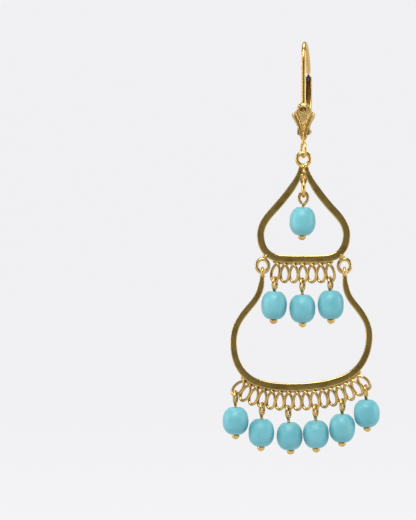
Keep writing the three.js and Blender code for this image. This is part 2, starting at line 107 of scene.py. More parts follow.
# One row for each bead on its ball pin: the loop it hangs on, how far round that loop its eye sits from the
# lowest point as a share of a turn, eye top to bead top, bead width and length, and lean in degrees.
DROP_COLUMNS = ("loop", "slide", "reach", "width", "length", "lean")
TOP_DROP = dict(zip(DROP_COLUMNS, (None, None, 2.62, 4.1, 4.4, -2.2)))
UPPER_DROPS = [dict(zip(DROP_COLUMNS, row)) for row in (
    (0, -0.02, 2.4, 4.05, 4.35, -2),
    (3, 0.02, 2.75, 4.12, 4.35, 0.3),
    (6, 0.03, 2.25, 4.12, 4.45, 1),
)]
LOWER_DROPS = [dict(zip(DROP_COLUMNS, row)) for row in (
    (0, -0.03, 2.72, 4.08, 4.22, 0.2),
    (3, -0.035, 2.7, 4.08, 4.25, -1.6),
    (6, 0.015, 2.8, 4.08, 4.25, 3.4),
    (9, 0, 2.7, 4.08, 4.25, 1),
    (12, 0, 2.55, 4.08, 4.35, -0.6),
    (15, 0.045, 2.5, 4.08, 4.25, 2),
)]

HOOK_TURN = Matrix.Rotation(HOOK_YAW, 4, "Z")
FRAMES_AT = HOOK_TURN @ Vector((0, EAR_WIRE["front"], 0))
FRAMES_MOVE = Matrix.Translation(FRAMES_AT)

# ---- Mesh helpers -------------------------------------------------------------------------------


class Shape:
    """The points and faces of one piece, in millimetres, with a finish number for each face."""

    def __init__(self):
        self.points, self.faces, self.finish = [], [], []

    def add(self, points, faces, finish=0, place=None):
        base = len(self.points)
        self.points += [place @ p if place else p.copy() for p in points]
        self.faces += [[base + i for i in face] for face in faces]
        self.finish += [finish] * len(faces)

    def piece(self, name, body, node, materials, place=None, slot="gold"):
        mesh = bpy.data.meshes.new(name)
        put = [(place @ p if place else p) * MM for p in self.points]
        mesh.from_pydata(put, [], self.faces)
        for material in materials:
            mesh.materials.append(material)
        mesh.polygons.foreach_set("material_index", self.finish)
        mesh.polygons.foreach_set("use_smooth", [True] * len(mesh.polygons))
        mesh.validate()
        turned = bmesh.new()
        turned.from_mesh(mesh)
        bmesh.ops.recalc_face_normals(turned, faces=turned.faces)
        turned.to_mesh(mesh)
        turned.free()
        mesh.set_sharp_from_angle(angle=math.radians(50))
        piece = bpy.data.objects.new(name, mesh)
        bpy.context.scene.collection.objects.link(piece)
        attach(piece, body)
        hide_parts(node)
        return piece


def bezier(corners, share):
    a, b, c, d = corners
    rest = 1 - share
    return a * rest**3 + b * 3 * rest**2 * share + c * 3 * rest * share**2 + d * share**3


def even(points, count, closed=False):
    """The same line again as count equal steps."""
    if closed:
        points = points + [points[0]]
    lengths = [0.0]
    for a, b in zip(points, points[1:]):
        lengths.append(lengths[-1] + (b - a).length)
    out, at = [], 0
    for k in range(count if closed else count + 1):
        want = lengths[-1] * k / count
        while at < len(points) - 2 and lengths[at + 1] < want:
            at += 1
        span = lengths[at + 1] - lengths[at]
        out.append(points[at].lerp(points[at + 1], (want - lengths[at]) / span if span else 0))
    return out


def smooth(points, per_span=12):
    """A line that passes smoothly through the points."""
    ends = [points[0] * 2 - points[1]] + list(points) + [points[-1] * 2 - points[-2]]
    out = []
    for a, b, c, d in zip(ends, ends[1:], ends[2:], ends[3:]):
        for k in range(per_span):
            t = k / per_span
            square, cube = 2 * a - 5 * b + 4 * c - d, 3 * b - a - 3 * c + d
            out.append(0.5 * (2 * b + (c - a) * t + square * t**2 + cube * t**3))
    return out + [points[-1].copy()]


def directions(path, closed=False):
    last = len(path) - 1
    out = []
    for i in range(len(path)):
        before = path[i - 1] if i or closed else path[i]
        after = path[(i + 1) % len(path)] if i < last or closed else path[i]
        out.append((after - before).normalized())
    return out


def skin(rings, closed=False, capped=True):
    """Points and faces of a tube through rings of equal counts."""
    sides = len(rings[0])
    points = [p for ring in rings for p in ring]
    faces = []
    spans = len(rings) if closed else len(rings) - 1
    for i in range(spans):
        a, b = i * sides, ((i + 1) % len(rings)) * sides
        faces += [[a + k, a + (k + 1) % sides, b + (k + 1) % sides, b + k] for k in range(sides)]
    if capped and not closed:
        faces.append(list(range(sides))[::-1])
        faces.append([(len(rings) - 1) * sides + k for k in range(sides)])
    return points, faces


def tube(shape, path, radius, sides=14, closed=False, finish=0, place=None, round_ends=True):
    """A round wire along a path. radius is a number, or a function of the share of the path's length."""
    radius_at = radius if callable(radius) else lambda share: radius
    heading = directions(path, closed)
    guide = heading[0].orthogonal().normalized()
    rings = []
    count = len(path)
    for i, (point, ahead) in enumerate(zip(path, heading)):
        guide = (guide - ahead * guide.dot(ahead)).normalized()
        other = ahead.cross(guide)
        r = radius_at(i / (count if closed else count - 1))
        rings.append([
            point + guide * (r * math.cos(a)) + other * (r * math.sin(a))
            for a in (2 * math.pi * k / sides for k in range(sides))
        ])
    if not closed and round_ends:
        first, last = [], []
        for step in (0.98, 0.9, 0.72, 0.42, 0.12):
            bulge = math.sqrt(1 - step**2)
            first.append([path[0].lerp(p, step) - heading[0] * radius_at(0) * bulge for p in rings[0]])
            last.append([path[-1].lerp(p, step) + heading[-1] * radius_at(1) * bulge for p in rings[-1]])
        rings = first[::-1] + rings + last
    if closed:
        # The last ring is turned to meet the first, so that the wire closes without a twist.
        drift = rings[0][0] - path[0]
        guide = (guide - heading[0] * guide.dot(heading[0])).normalized()
        turn = math.atan2(drift.dot(heading[0].cross(guide)), drift.dot(guide))
        for i, ring in enumerate(rings):
            spin = Matrix.Rotation(turn * i / count, 3, heading[i])
            rings[i] = [path[i] + spin @ (p - path[i]) for p in ring]
    shape.add(*skin(rings, closed), finish, place)


EDGE_STEPS = 3  # flats round each rounded edge of a bar


def rounded_bar(width, depth, bevel):
    """Corners of a bar's section, round the way, with rounded edges."""
    out = []
    for cx, cy, start in ((1, 1, 0), (-1, 1, 90), (-1, -1, 180), (1, -1, 270)):
        for k in range(EDGE_STEPS + 1):
            a = math.radians(start + 90 * k / EDGE_STEPS)
            x = cx * (width / 2 - bevel) + bevel * math.cos(a)
            y = cy * (depth / 2 - bevel) + bevel * math.sin(a)
            out.append((x, y))
    return out


def strip(shape, path, width_at, depth, across_axis, bevel=0.13, wobble=0.0, seed=0.0, face_finish=0):
    """A flat strip along a plane curve. across_axis is the direction its depth runs in, and face_finish is
    the finish of the two faces that look along it."""
    rings = []
    count = len(path) - 1
    for i, (point, ahead) in enumerate(zip(path, directions(path))):
        side = ahead.cross(across_axis).normalized()
        share = i / count
        shake = noise.noise(Vector((share * 22, seed, 0))) * wobble
        width = width_at(share) + shake
        drift = noise.noise(Vector((share * 9, seed, 5))) * wobble * 0.6
        section = rounded_bar(width, depth, bevel)
        rings.append([point + side * (a + drift) + across_axis * b for a, b in section])
    points, faces = skin(rings)
    start = len(shape.faces)
    shape.add(points, faces)
    corner = EDGE_STEPS + 1
    for i in range(count):
        for k in (corner - 1, 3 * corner - 1):
            shape.finish[start + i * 4 * corner + k] = face_finish


def lathe(shape, profile, sides):
    """A ring turned about Z from a closed outline of (radius, height) pairs."""
    rings = [[Vector((r * math.cos(a), r * math.sin(a), z)) for r, z in profile]
             for a in (2 * math.pi * k / sides for k in range(sides))]
    count = len(profile)
    points = [p for ring in rings for p in ring]
    faces = []
    for i in range(sides):
        a, b = i * count, ((i + 1) % sides) * count
        faces += [[a + k, b + k, b + (k + 1) % count, a + (k + 1) % count] for k in range(count)]
    shape.add(points, faces)


def ball(shape, centre, radius, stretch=(1, 1, 1), lumps=0.0, seed=0.0, rings=12, sides=18, finish=0):
    """A round drop of metal, with a little unevenness."""
    def point(polar, turn):
        away = Vector((math.sin(polar) * math.cos(turn), math.sin(polar) * math.sin(turn), math.cos(polar)))
        grown = radius * (1 + lumps * noise.noise(away * 1.7 + Vector((seed, 0, 0))))
        return centre + Vector([grown * a * s for a, s in zip(away, stretch)])

    points = [point(0, 0), point(math.pi, 0)]
    points += [point(math.pi * i / rings, 2 * math.pi * k / sides)
               for i in range(1, rings) for k in range(sides)]
    faces = []
    for k in range(sides):
        n = (k + 1) % sides
        faces.append([0, 2 + k, 2 + n])
        for i in range(rings - 2):
            a, b = 2 + i * sides, 2 + (i + 1) * sides
            faces.append([a + k, b + k, b + n, a + n])
        end = 2 + (rings - 2) * sides
        faces.append([end + k, 1, end + n])
    shape.add(points, faces, finish)


def ring_path(wide, tall, centre, side=X, count=48):
    """An upright oval; side is the level direction that it lies along."""
    return [centre + side * (wide * math.cos(a)) + Z * (tall * math.sin(a))
            for a in (2 * math.pi * k / count for k in range(count))]


# ---- Paths --------------------------------------------------------------------------------------


def straight(x, z):
    return Vector((x, 0, z))


def lopsided(x, z):
    share = min(max((LOWER_FRAME["top"] - z) / (LOWER_FRAME["top"] - LOWER_FRAME["bar"]), 0), 1)
    return Vector((x + LOWER_SHIFT * share, 0, z + LOWER_RISE * x * share))


def half_line(outline, side, bend, count=60):
    line = []
    for row in outline:
        corners = [bend(side * x, z) for x, z in row]
        line += [bezier(corners, k / 40) for k in range(40)]
    line.append(bend(0, outline[-1][-1][1]))
    return even(line, count)


def whole_line(outline, bend, count=150):
    """From the top of the right half round to the top of the left half."""
    right, left = half_line(outline, 1, bend, 200), half_line(outline, -1, bend, 200)
    return even(right + left[::-1][1:], count)


class Gallery:
    """One wire wound into flattened loops along a frame's bar, each loop standing square to the bar."""

    def __init__(self, spec, outline, bend):
        self.spec = spec
        reach = spec["loops"] * spec["pitch"] / 2 + abs(spec["shift"])
        sides = []
        for side in (-1, 1):
            half = half_line(outline, side, bend, 400)
            heading = directions(half)
            length = sum((b - a).length for a, b in zip(half, half[1:]))
            row = []
            for k in range(25):
                at = round((1 - reach * (k / 24) / length) * 400)
                outward = Vector((-side * heading[at].z, 0, side * heading[at].x))
                row.append(half[at] + outward * spec["below"])
            sides.append(row)
        self.middle = even(smooth(sides[0][::-1] + sides[1][1:], 8), 1200)
        self.length = sum((b - a).length for a, b in zip(self.middle, self.middle[1:]))

    def at(self, turns):
        spec = self.spec
        angle = 2 * math.pi * turns
        share = 0.5 + (spec["pitch"] * (turns - spec["loops"] / 2) + spec["shift"]) / self.length
        at = min(max(share, 0.001), 0.999) * 1200
        low = int(at)
        rightward = (self.middle[low + 1] - self.middle[low]).normalized()
        downward = Vector((rightward.z, 0, -rightward.x))
        return (
            self.middle[low].lerp(self.middle[low + 1], at - low)
            - downward * (spec["tall"] * math.cos(angle))
            + rightward * (spec["wide"] * math.sin(angle))
            - Y * (GALLERY_LEAN * math.sin(angle))
        )

    def path(self, per_loop=44):
        count = self.spec["loops"] * per_loop
        return [self.at(k / per_loop) for k in range(count + 1)]

    def foot(self, drop):
        """Where a drop's eye sits on its loop, how thick the wire is, and the way it runs there."""
        turns = min((drop["loop"] + 0.25 + k / 200 for k in range(101)), key=lambda turn: self.at(turn).z)
        turns += drop["slide"]
        along = self.at(turns - 0.02) - self.at(turns + 0.02)
        return self.at(turns), GALLERY_WIRE, math.atan2(along.y, along.x)


# ---- Finishes -----------------------------------------------------------------------------------


def node_group(name, inputs, outputs):
    group = bpy.data.node_groups.new(name, "ShaderNodeTree")
    for socket, kind, value in inputs:
        made = group.interface.new_socket(socket, in_out="INPUT", socket_type=kind)
        made.default_value = value
    for socket, kind in outputs:
        group.interface.new_socket(socket, in_out="OUTPUT", socket_type=kind)
    return group, Wiring(group)


class Wiring:
    """Adds nodes to a tree and joins them."""

    def __init__(self, tree):
        self.tree = tree

    def node(self, kind, settings=None, **inputs):
        made = self.tree.nodes.new(kind)
        for key, value in (settings or {}).items():
            setattr(made, key, value)
        for key, value in inputs.items():
            self.put(made.inputs[key.replace("_", " ")] if isinstance(key, str) else made.inputs[key], value)
        return made

    def put(self, socket, value):
        if isinstance(value, bpy.types.NodeSocket):
            self.tree.links.new(value, socket)
        else:
            socket.default_value = value

    def math(self, operation, a, b=0.0, clamp=False):
        made = self.tree.nodes.new("ShaderNodeMath")
        made.operation, made.use_clamp = operation, clamp
        self.put(made.inputs[0], a)
        self.put(made.inputs[1], b)
        return made.outputs[0]

    def blend(self, share, a, b, mode="MIX"):
        made = self.tree.nodes.new("ShaderNodeMix")
        made.data_type, made.blend_type = "RGBA", mode
        self.put(made.inputs["Factor"], share)
        self.put(made.inputs["A"], a)
        self.put(made.inputs["B"], b)
        return made.outputs["Result"]

    def span(self, value, low, high, to_low=0.0, to_high=1.0):
        made = self.tree.nodes.new("ShaderNodeMapRange")
        made.interpolation_type = "SMOOTHSTEP"
        for socket, number in zip(made.inputs[:5], (value, low, high, to_low, to_high)):
            self.put(socket, number)
        return made.outputs[0]

    def noise(self, where, scale, detail=3.0, roughness=0.5):
        made = self.node("ShaderNodeTexNoise", Vector=where, Scale=scale, Detail=detail, Roughness=roughness)
        return made.outputs["Fac"]


def build_wear_and_shade_group():
    """Hand-worked gold: cloudy tone, fine scratches and tarnish, with painted shade that darkens the concave
    places between and inside the pieces.
    """
    group, w = node_group(
        "gold_wear_and_recess_shade",
        [
            ("Bright", "NodeSocketColor", (0.9, 0.66, 0.3, 1)),
            ("Tarnish", "NodeSocketColor", (0.2, 0.12, 0.03, 1)),
            ("Tarnish Amount", "NodeSocketFloat", 0.4),
            ("Grain Scale", "NodeSocketFloat", 1500.0),
            ("Grain Depth", "NodeSocketFloat", 0.3),
            ("Polish", "NodeSocketFloat", 0.2),
        ],
        [("Color", "NodeSocketColor"), ("Roughness", "NodeSocketFloat"), ("Height", "NodeSocketFloat")],
    )
    given = w.node("NodeGroupInput").outputs
    where = w.node("ShaderNodeTexCoord").outputs["Object"]
    cloud = w.noise(where, 420.0, 4.0, 0.6)
    grain = w.noise(where, given["Grain Scale"], 2.0, 0.5)
    pits = w.noise(where, 2600.0, 2.0, 0.5)
    # Pointiness finds concave places; the tarnish colour laid there is painted shade, standing in for
    # ambient occlusion.
    concave_shade = w.span(w.node("ShaderNodeNewGeometry").outputs["Pointiness"], 0.42, 0.5, 1.0, 0.0)
    patchy = w.math("MULTIPLY", w.span(cloud, 0.42, 0.68), given["Tarnish Amount"])
    painted_recess_shade = w.math("MULTIPLY", concave_shade, w.math("ADD", given["Tarnish Amount"], 0.35))
    # Real tarnish patches and pits together with the painted recess shade: this darkens the colour and
    # roughens the metal.
    tarnish_and_shade = w.math("MAXIMUM", patchy, painted_recess_shade, clamp=True)
    fleck = w.math("MULTIPLY", w.span(pits, 0.6, 0.74), given["Tarnish Amount"])
    tarnish_and_shade = w.math("ADD", tarnish_and_shade, w.math("MULTIPLY", fleck, 0.25), clamp=True)
    colour = w.blend(tarnish_and_shade, given["Bright"], given["Tarnish"])
    rough = w.math("ADD", given["Polish"], w.math("MULTIPLY", grain, 0.08))
    rough = w.math("ADD", rough, w.math("MULTIPLY", tarnish_and_shade, 0.22), clamp=True)
    height = w.math("MULTIPLY", w.math("ADD", grain, w.math("MULTIPLY", cloud, 0.6)), given["Grain Depth"])
    out = w.node("NodeGroupOutput")
    for socket, value in (("Color", colour), ("Roughness", rough), ("Height", height)):
        w.put(out.inputs[socket], value)
    return group


def new_material(name, preview):
    material = bpy.data.materials.new(name)
    material.use_nodes = True
    material.diffuse_color = (*preview, 1)
    w = Wiring(material.node_tree)
    shader = material.node_tree.nodes["Principled BSDF"]
    return material, w, shader


def gold(name, group, bright, tarnish, amount, grain, depth, polish, bump):
    material, w, shader = new_material(name, bright)
    wear_shade_node = w.node("ShaderNodeGroup", {"node_tree": group})
    for socket, value in (
        ("Bright", (*bright, 1)), ("Tarnish", (*tarnish, 1)), ("Tarnish Amount", amount),
        ("Grain Scale", grain), ("Grain Depth", depth), ("Polish", polish),
    ):
        wear_shade_node.inputs[socket].default_value = value
    shader.inputs["Metallic"].default_value = 1.0
    w.put(shader.inputs["Base Color"], wear_shade_node.outputs["Color"])
    w.put(shader.inputs["Roughness"], wear_shade_node.outputs["Roughness"])
    dent = w.node("ShaderNodeBump", Strength=bump, Distance=0.00006, Height=wear_shade_node.outputs["Height"])
    w.put(shader.inputs["Normal"], dent.outputs["Normal"])
    return material


def turquoise_material():
    """Waxed turquoise: a cloudy blue-green body, fine paler and darker layers and a few rusty threads."""
    material, w, shader = new_material("waxed_turquoise", (0.16, 0.5, 0.57))
    where = w.node("ShaderNodeTexCoord").outputs["Object"]
    layered = w.node("ShaderNodeMapping", Vector=where)
    layered.inputs["Scale"].default_value = (1, 1, 3.2)
    layered.inputs["Rotation"].default_value = (0.05, 0.04, 0)
    cloud = w.noise(where, 260.0, 4.0, 0.55)
    layers = w.noise(layered.outputs["Vector"], 420.0, 5.0, 0.6)
    fine = w.noise(where, 3200.0, 3.0, 0.6)
    body = w.blend(w.span(cloud, 0.3, 0.7), (0.118, 0.422, 0.485, 1), (0.168, 0.505, 0.573, 1))
    body = w.blend(w.span(layers, 0.5, 0.75, 0.0, 0.35), body, (0.09, 0.35, 0.4, 1))
    body = w.blend(w.span(fine, 0.45, 0.75, 0.0, 0.16), body, (0.21, 0.54, 0.6, 1))
    matrix = w.node("ShaderNodeAttribute", {"attribute_name": "matrix_stain"}).outputs["Fac"]
    broken = w.math("MULTIPLY", matrix, w.span(w.noise(where, 1500.0, 3.0, 0.6), 0.35, 0.6))
    body = w.blend(broken, body, (0.42, 0.28, 0.1, 1))
    w.put(shader.inputs["Base Color"], body)
    w.put(shader.inputs["Roughness"], w.span(fine, 0.3, 0.7, 0.38, 0.52))
    shader.inputs["IOR"].default_value = 1.5
    shader.inputs["Coat Weight"].default_value = 0.12
    shader.inputs["Coat Roughness"].default_value = 0.25
    height = w.math("ADD", w.math("MULTIPLY", layers, 0.6), w.math("MULTIPLY", fine, 0.25))
    dent = w.node("ShaderNodeBump", Strength=0.25, Distance=0.00006, Height=height)
    w.put(shader.inputs["Normal"], dent.outputs["Normal"])
    return material


wear_shade_group = build_wear_and_shade_group()
# One row for each gold: name, bright and tarnished colours, tarnish, grain scale and depth, polish, bump.
# The tarnished colour also serves as painted shade in concave places.
GOLDS = {row[0]: gold(row[0], wear_shade_group, *row[1:]) for row in (
    ("bright_gold_wire", (0.7, 0.48, 0.17), (0.13, 0.075, 0.018), 0.24, 900.0, 0.25, 0.17, 0.05),
    ("coiled_gold_wire", (0.68, 0.465, 0.16), (0.1, 0.056, 0.013), 0.36, 900.0, 0.3, 0.18, 0.07),
    # The flat faces' dark brown colour is a painted dark reflection of the room in front of them; the
    # brushed grain is real.
    ("brushed_gold_face_painted_dark", (0.27, 0.19, 0.055), (0.1, 0.066, 0.016), 0.7, 3600.0, 1.0, 0.32, 0.6),
    ("satin_gold_shell", (0.66, 0.46, 0.17), (0.14, 0.08, 0.018), 0.34, 1400.0, 0.3, 0.24, 0.12),
    # The wire's end is painted near-black as the dark reflection in the lever's notch.
    ("painted_dark_tip", (0.05, 0.05, 0.07), (0.015, 0.015, 0.02), 0.5, 1800.0, 0.3, 0.22, 0.1),
    # A darker brown copy of the gold, painted as the shade inside the shell's hollow and the lever's
    # channel.
    ("painted_shade_gold", (0.46, 0.27, 0.07), (0.12, 0.06, 0.012), 0.5, 1600.0, 0.4, 0.36, 0.12),
)}
WIRE_GOLD, COIL_GOLD, PAINTED_DARK_FACE_GOLD, CAST_GOLD, PAINTED_DARK_TIP, PAINTED_SHADE_GOLD = GOLDS.values()

# What a finish number means on each metal piece: its place in the list of materials. Plain wire is 0.
# Finish 1 on the frames is the painted dark reflection on their flat front and back faces.
FRAME_FINISHES = [WIRE_GOLD, PAINTED_DARK_FACE_GOLD, COIL_GOLD]
FACE, COIL = 1, 2
# On the hook, finish 2 is the painted dark reflection at the wire's end.
HOOK_FINISHES = [WIRE_GOLD, CAST_GOLD, PAINTED_DARK_TIP, PAINTED_SHADE_GOLD]
# On the hook, finish 3 is the painted shade in the shell's hollow.
CAST, TIP, PAINTED_SHADE_FINISH = 1, 2, 3
# On the lever, finish 1 is the painted shade on the channel's lining.
LEVER_FINISHES = [WIRE_GOLD, PAINTED_SHADE_GOLD]
SHADED_CHANNEL = 1
TURQUOISE = turquoise_material()

# ---- Frames and galleries -----------------------------------------------------------------------


def solder(shape, points, size, seed):
    """Small uneven drops of solder where wires meet."""
    chance = random.Random(seed)
    for point in points:
        stretch = [chance.uniform(0.8, 1.25) for _ in range(3)]
        ball(shape, point, size * chance.uniform(0.8, 1.15), stretch, 0.3, chance.uniform(0, 50), 8, 12)


def upper_frame():
    shape = Shape()
    line = whole_line(UPPER_OUTLINE, straight, 170)

    def width_at(share):
        grown = min(share, 1 - share, UPPER_FRAME["taper"]) / UPPER_FRAME["taper"]
        return UPPER_FRAME["top_width"] + (UPPER_FRAME["face_width"] - UPPER_FRAME["top_width"]) * grown

    # The flat faces take the painted dark reflection.
    strip(shape, line, width_at, UPPER_FRAME["depth"], Y, wobble=0.05, seed=3.0, face_finish=FACE)
    # The throat where the strip's two ends are soldered together under the ring.
    throat = [Vector((0, 0, z)) for z in (-19.2, -19.6, -20.1, -20.6, -21.1, -21.5)]
    tube(shape, smooth(throat, 6), lambda share: 0.5 + 0.16 * math.sin(share * math.pi) ** 2, 16)
    solder(shape, [Vector((0.12, -0.42, -19.95)), Vector((-0.2, -0.45, -20.5)), Vector((0.22, -0.46, -20.9)),
                   Vector((-0.05, -0.45, -21.3))], 0.26, 5)
    tube(shape, ring_path(TOP_RING["radius"], TOP_RING["radius"], Vector((0, 0, TOP_RING_Z))),
         TOP_RING["wire"] - RING_EASE, 18, True)
    tube(shape, ring_path(BAIL["wide"], BAIL["tall"], Vector((0, 0, BAIL["z"])), Y), BAIL["wire"], 16, True)
    for side in (-1, 1):
        centre = Vector((side * SIDE_RING["x"], 0, SIDE_RING["z"]))
        tube(shape, ring_path(SIDE_RING["wide"], SIDE_RING["tall"], centre), SIDE_RING["wire"], 18, True)
        solder(shape, [Vector((side * 6.12, 0, -33.35)), Vector((side * 5.9, -0.25, -33.2))], 0.4, 11 + side)
    tube(shape, UPPER_COIL.path(), GALLERY_WIRE + GALLERY_SWELL, 12, finish=COIL)
    solder(shape, [UPPER_COIL.at(k) + Vector((0, -0.12, 0.1)) for k in range(1, 7)], 0.2, 17)
    return shape


def lower_frame():
    shape = Shape()
    line = whole_line(LOWER_OUTLINE, lopsided, 200)
    widths = ("neck_width", "top_width", "side_width", "bar_width")
    neck, top, side_width, bar = (LOWER_FRAME[key] for key in widths)

    def width_at(share):
        down = 1 - abs(2 * share - 1)
        if down < LOWER_NECK:
            return neck + (top - neck) * down / LOWER_NECK
        if down < 0.5:
            return top + (side_width - top) * down / 0.5
        return side_width + (bar - side_width) * (down - 0.5) / 0.5

    # The flat faces take the painted dark reflection.
    strip(shape, line, width_at, LOWER_FRAME["depth"], Y, wobble=0.06, seed=8.0, face_finish=FACE)
    hook_radius = SIDE_RING["wire"] + LOWER_HOOK_WIRE + CLEARANCE
    for side in (-1, 1):
        centre = Vector((side * SIDE_RING["x"], 0, SIDE_RING["z"] - SIDE_RING["tall"]))
        tube(shape, ring_path(hook_radius, hook_radius, centre, Y, 36), LOWER_HOOK_WIRE, 16, True)
        solder(shape, [Vector((side * 6.45, y, -36.35)) for y in (-0.3, 0.3)], 0.32, 23 + side)
    tube(shape, LOWER_COIL.path(), GALLERY_WIRE + GALLERY_SWELL, 12, finish=COIL)
    solder(shape, [LOWER_COIL.at(k) + Vector((0, -0.12, 0.08)) for k in range(1, 16)], 0.2, 29)
    return shape


# ---- Beads on ball pins -------------------------------------------------------------------------


def pin_shape(drop, eye_top, bead_top, turn, seed):
    shape = Shape()
    centre = eye_top - PIN["eye_tall"]
    eye = []
    for degrees in (-62, -45, -30, 0, 30, 60, 90, 120, 150, 180, 205, 228):
        a = math.radians(degrees)
        eye.append(Vector((0, PIN["eye_wide"] * math.cos(a), centre + PIN["eye_tall"] * math.sin(a))))
    neck = centre - PIN["eye_tall"] * 1.22
    eye += [Vector((0, -0.08, neck)), Vector((0, 0, neck - 0.3))]
    ball_at = bead_top - drop["length"] - PIN["ball_drop"]
    eye += [Vector((0, 0, neck - 0.8)), Vector((0, 0, (neck + ball_at) / 2)), Vector((0, 0, ball_at))]
    tube(shape, smooth(eye, 8), PIN["wire"], 14)
    ball(shape, Vector((0, 0, ball_at)), PIN["ball"], (1, 1, 0.96), 0.06, seed, 14, 22)
    turned = Matrix.Rotation(turn, 4, "Z")
    shape.points = [turned @ p for p in shape.points]
    return shape


def bead_shape(drop, bead_top, seed):
    shape = Shape()
    half, radius, power = drop["length"] / 2, drop["width"] / 2, BEAD["roundness"]
    pole = half / (1 - (BEAD["flat"] / radius) ** power) ** (1 / power)
    profile = []
    steps = 34
    for k in range(steps + 1):
        z = -half * math.cos(math.pi * k / steps)
        profile.append((radius * (1 - abs(z / pole) ** power) ** (1 / power), z))
    mouth = [(0.86, 0.02), (0.76, 0.0), (0.66, -0.05), (0.56, -0.16), (0.46, -0.34), (BEAD["bore"], -0.7)]
    profile += [(r, half + dz - 0.02) for r, dz in mouth]
    profile += [(r, -(half + dz - 0.02)) for r, dz in reversed(mouth)]
    lathe(shape, profile, 56)
    for i, p in enumerate(shape.points):
        lump = noise.noise(p * 0.55 + Vector((seed * 7.3, 0, 0))) * 0.045
        dimple = noise.noise(p * 1.9 + Vector((0, seed * 3.1, 0))) * 0.012
        away = Vector((p.x, p.y, 0))
        share = min(away.length / radius, 1)
        shape.points[i] = p + away.normalized() * (lump + dimple - 0.01) * share
    middle = bead_top - half
    shape.points = [p + Vector((0, 0, middle)) for p in shape.points]
    return shape


# Rusty marks: bead name, then short threads on its front as (x, height from its middle) ends and a width.
MATRIX_THREADS = {
    "lower_3": [((0.5, -0.45), (1.75, -0.75), 0.07), ((0.9, -0.85), (1.6, -1.15), 0.05)],
    "lower_5": [((0.3, 0.22), (0.75, 0.12), 0.13)],
}


def stain(piece, shape, name, middle):
    """Marks how rusty each point of a bead is."""
    layer = piece.data.attributes.new("matrix_stain", "FLOAT", "POINT")
    values = [0.0] * len(shape.points)
    for (x0, z0), (x1, z1), width in MATRIX_THREADS.get(name, []):
        a, b = Vector((x0, z0)), Vector((x1, z1))
        for i, p in enumerate(shape.points):
            if p.y > 0:
                continue
            q = Vector((p.x, p.z - middle))
            share = min(max((q - a).dot(b - a) / (b - a).length_squared, 0), 1)
            near = (q - a.lerp(b, share)).length / width
            values[i] = max(values[i], max(0.0, 1.4 - near) * 0.7)
    layer.data.foreach_set("value", values)


def hang_drop(name, body, drop, foot, seed):
    point, wire, turn = foot
    eye_top = wire + PIN["wire"] + CLEARANCE
    bead_top = eye_top + PIN["wire"] - drop["reach"]
    lean = Matrix.Rotation(math.radians(-drop["lean"]), 4, "Y")
    place = FRAMES_MOVE @ Matrix.Translation(point) @ lean
    pin = pin_shape(drop, eye_top, bead_top, turn, seed)
    pin.piece(f"ball_pin_{name}", body, f"pin_{name}", [WIRE_GOLD], place)
    shape = bead_shape(drop, bead_top, seed)
    bead = shape.piece(f"turquoise_bead_{name}", body, f"bead_{name}", [TURQUOISE], place, "turquoise")
    stain(bead, shape, name, bead_top - drop["length"] / 2)


# ---- Hook ---------------------------------------------------------------------------------------


def side_point(y, z):
    return Vector((0, y, z))


def shell_half_width(z):
    """The shell's half width at a height, along its edge."""
    for (x0, z0), (x1, z1) in zip(SHELL_EDGE, SHELL_EDGE[1:]):
        if z1 <= z <= z0:
            t = (z0 - z) / (z0 - z1)
            return x0 + (x1 - x0) * t
    return 0.25


# The shell's cast pattern: a rib along each edge, a leaf that comes to a point, and a hollow under the hood.
RIB = {"at": 0.8, "wide": 0.13, "tall": 0.2}
LEAF = {"point": -13.9, "spread": 0.34, "wide": 0.11, "tall": 0.2,
        "line_slope": 1.1, "line_pitch": 0.32, "line_tall": 0.05}
HOLLOW = {"top": -9.85, "bottom": -10.45, "half_width": 0.5, "deep": 0.34}


